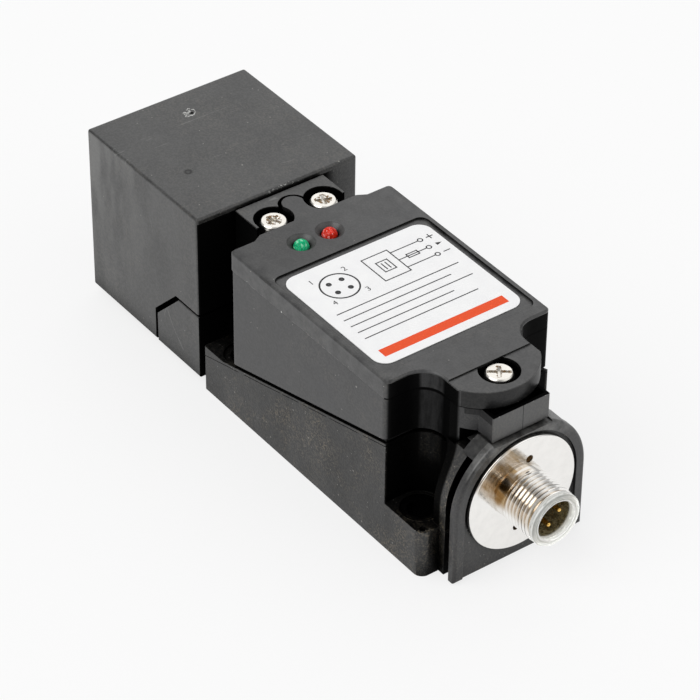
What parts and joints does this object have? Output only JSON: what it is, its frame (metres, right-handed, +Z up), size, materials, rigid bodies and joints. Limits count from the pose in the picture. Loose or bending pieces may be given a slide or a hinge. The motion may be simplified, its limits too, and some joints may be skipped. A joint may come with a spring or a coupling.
{
  "type": "inductive proximity sensor",
  "caption": "Square-headed inductive proximity sensor: sensing cube on a bracket, plug-in wedge electronics module with indicator lamps, screw-down base and M12 plug connector.",
  "frame": {"origin": "centre of the four mounting holes on the flat mounting face of the base", "axes": "+X towards the sensing face, along the long side; +Z up, away from the mounting face"},
  "size_m": [0.1324, 0.04, 0.0417],
  "materials": {
    "base_plastic": "fine-grained moulded black",
    "module_plastic": "satin moulded black",
    "head_plastic": "satin moulded black",
    "plate_plastic": "satin moulded black",
    "nickel": "bright nickel plate",
    "screw_steel": "zinc plated",
    "insert_brass": "turned",
    "contact_gold": "gold plated",
    "copper": "enamelled wire",
    "seal_rubber": "matt",
    "clear_plastic": "clear moulded",
    "carrier_plastic": "moulded black",
    "label_paper": "white film",
    "green_lens": "coloured lens",
    "red_lens": "coloured lens",
    "board_laminate": "solder mask",
    "chip_plastic": "moulded",
    "resin": "cast",
    "ferrite": "sintered",
    "wire_insulation": "soft sleeve"
  },
  "bodies": {
    "base": {"base_housing": "base_plastic", "base_gasket": "seal_rubber", "connector_plate": "plate_plastic", "connector_gasket": "seal_rubber", "connector_shell": "nickel", "connector_nut": "nickel", "connector_insert": "carrier_plastic", "contact_pins": "contact_gold", "connector_sleeve": "clear_plastic", "plug_socket": "carrier_plastic", "socket_contacts": "insert_brass", "lead_wires": "wire_insulation", "plate_insert": "insert_brass", "base_inserts": "insert_brass", "head_contacts": "insert_brass"},
    "cover": {"module_body": "module_plastic", "module_lid": "module_plastic", "module_potting": "resin", "circuit_board": "board_laminate", "board_components": "chip_plastic", "plug_pins": "contact_gold", "led_green": "green_lens", "led_red": "red_lens", "label": "label_paper", "cover_screw": "screw_steel"},
    "head": {"head_shell": "head_plastic", "head_bracket": "head_plastic", "neck_screws": "screw_steel", "foot_screws": "screw_steel", "ferrite_core": "ferrite", "coil_bobbin": "carrier_plastic", "coil_winding": "copper", "head_board": "board_laminate", "head_potting": "resin", "head_pins": "contact_gold"}
  },
  "joints": [
    {"name": "cover_lift", "type": "slide", "parent": "base", "child": "cover", "axis": [0, 0, 1], "range_m": [0, 0.03]},
    {"name": "head_lift", "type": "slide", "parent": "base", "child": "head", "axis": [0, 0, 1], "range_m": [0, 0.03]}
  ]
}
